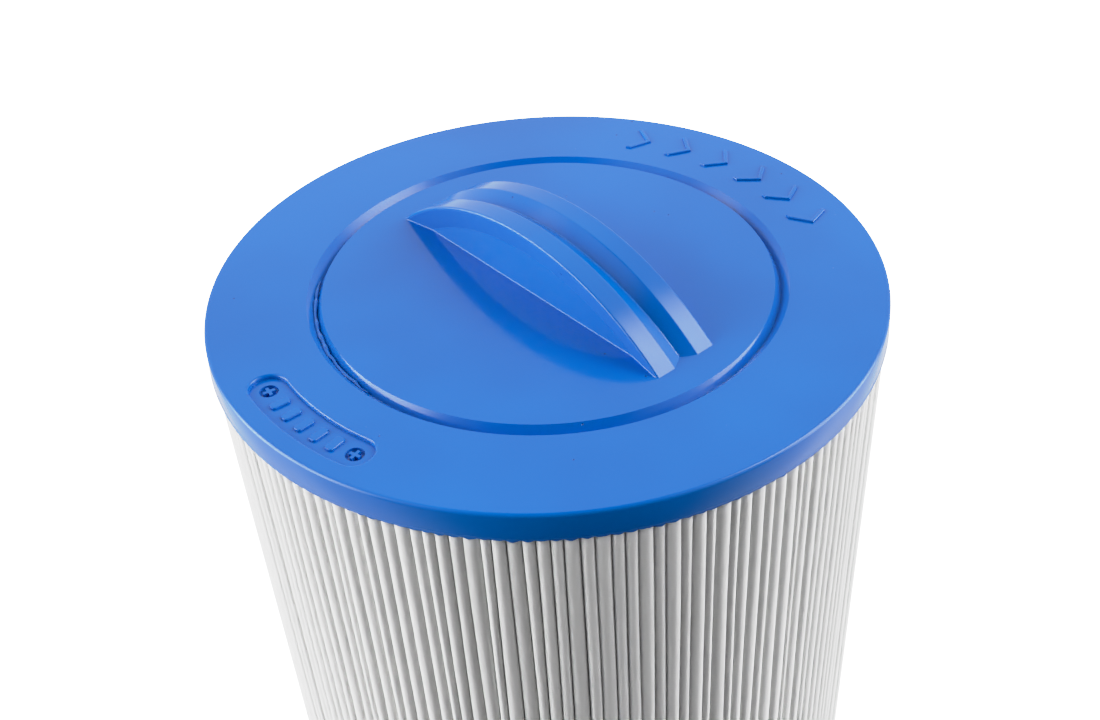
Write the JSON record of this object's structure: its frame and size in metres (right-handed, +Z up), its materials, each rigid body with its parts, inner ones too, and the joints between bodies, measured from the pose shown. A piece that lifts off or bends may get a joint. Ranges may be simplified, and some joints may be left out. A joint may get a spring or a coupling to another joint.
{
  "type": "filter cartridge",
  "caption": "Pleated screw-in spa filter cartridge with cast end caps, an arched grip on top, a perforated core and a male threaded outlet.",
  "frame": {"origin": "on the cartridge's axis, at the open end of the threaded outlet, the lowest point", "axes": "+Z up the cartridge's axis from the outlet to the grip, X along the grip, -Y towards the label recess"},
  "size_m": [0.1788, 0.1788, 0.2405],
  "materials": {
    "cast_resin": "cast polyurethane, satin gloss, sky blue",
    "polyester_media": "spunbond polyester cloth, folded in narrow pleats",
    "hot_melt": "hot-melt glue, milky",
    "core_plastic": "moulded polypropylene, white",
    "spigot_plastic": "moulded plastic, blue"
  },
  "bodies": {
    "root": {"top_end_cap": "cast_resin", "handle_disc": "cast_resin", "bottom_end_cap": "cast_resin", "pleated_media": "polyester_media", "media_seam": "hot_melt", "core_tube": "core_plastic", "outlet_spigot": "spigot_plastic"}
  },
  "joints": []
}
